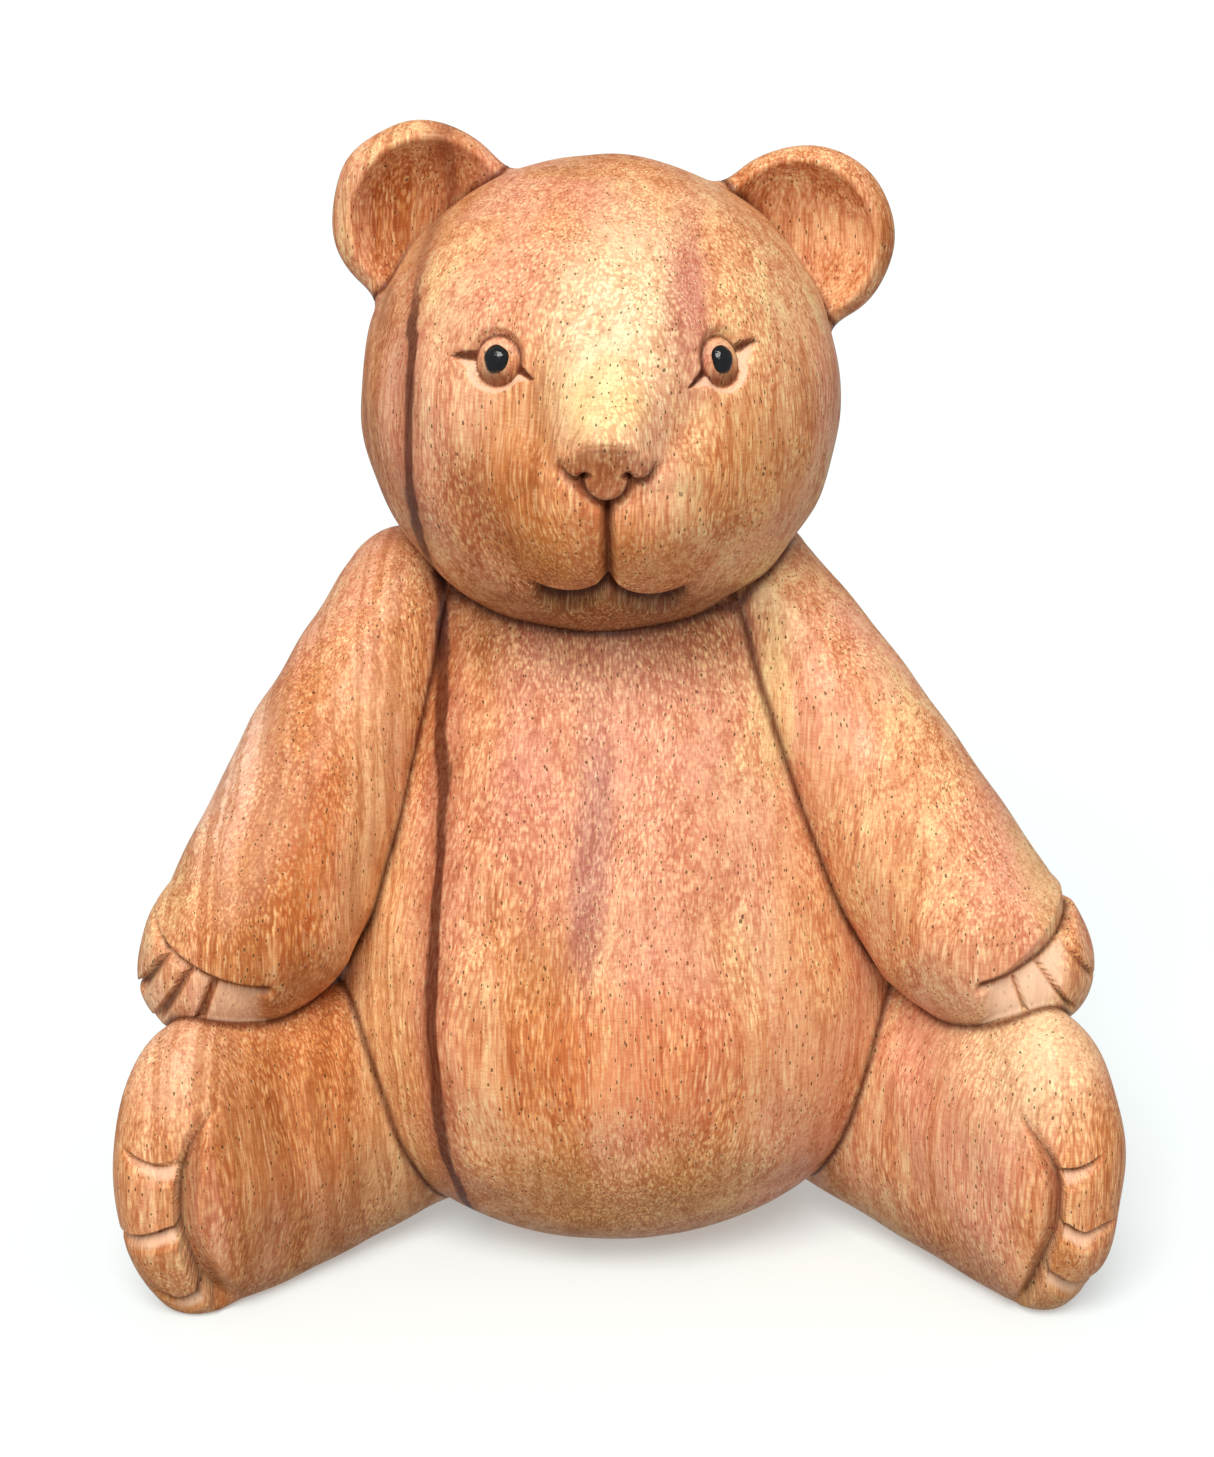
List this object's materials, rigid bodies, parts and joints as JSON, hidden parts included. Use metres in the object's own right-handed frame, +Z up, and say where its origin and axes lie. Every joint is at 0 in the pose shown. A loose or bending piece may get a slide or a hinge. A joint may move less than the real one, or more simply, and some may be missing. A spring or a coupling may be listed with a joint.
{
  "type": "carved wooden bear figurine",
  "caption": "Seated teddy bear carved in figured hardwood, with a round head, dished ears, arms resting on its legs, and black enamel eyes; stands on its flat underside and feet.",
  "frame": {"origin": "on the flat underside of the torso, in the plane that the feet stand on too", "axes": "+Z up through the torso to the head, +Y from the face to the back, +X to the bear's own left"},
  "size_m": [0.1296, 0.0819, 0.1493],
  "materials": {
    "carved_wood": "sanded and wax polished, satin, with open pores",
    "eye_black": "thick drops of black gloss enamel"
  },
  "bodies": {
    "root": {"torso": "carved_wood", "head": "carved_wood", "right_ear": "carved_wood", "left_ear": "carved_wood", "right_arm": "carved_wood", "left_arm": "carved_wood", "right_leg": "carved_wood", "left_leg": "carved_wood", "right_eye": "eye_black", "left_eye": "eye_black"}
  },
  "joints": []
}
